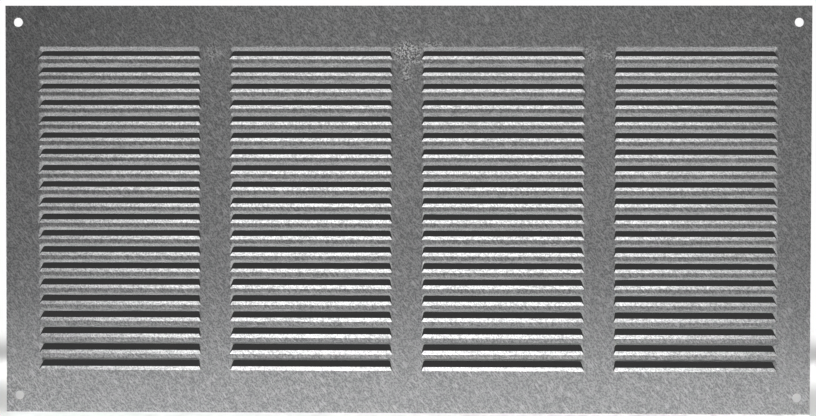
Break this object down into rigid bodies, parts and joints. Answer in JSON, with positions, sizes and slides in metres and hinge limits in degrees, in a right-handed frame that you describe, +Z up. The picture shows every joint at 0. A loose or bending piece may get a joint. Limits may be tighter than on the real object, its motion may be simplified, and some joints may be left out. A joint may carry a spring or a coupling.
{
  "type": "ventilation grille",
  "caption": "Flat rectangular ventilation grille of galvanised sheet steel, with columns of pressed horizontal louvres and a screw hole in each corner.",
  "frame": {"origin": "centre of the flat wall face, in the middle of the plate", "axes": "+X along the slots, to the right seen from the front; +Y into the wall, the way the louvres are pressed; +Z up"},
  "size_m": [0.4, 0.0043, 0.2026],
  "materials": {
    "galvanised_steel": "hot-dip galvanised, dull grey zinc with fine mottled spangle"
  },
  "bodies": {
    "root": {"louvre_plate": "galvanised_steel"}
  },
  "joints": []
}
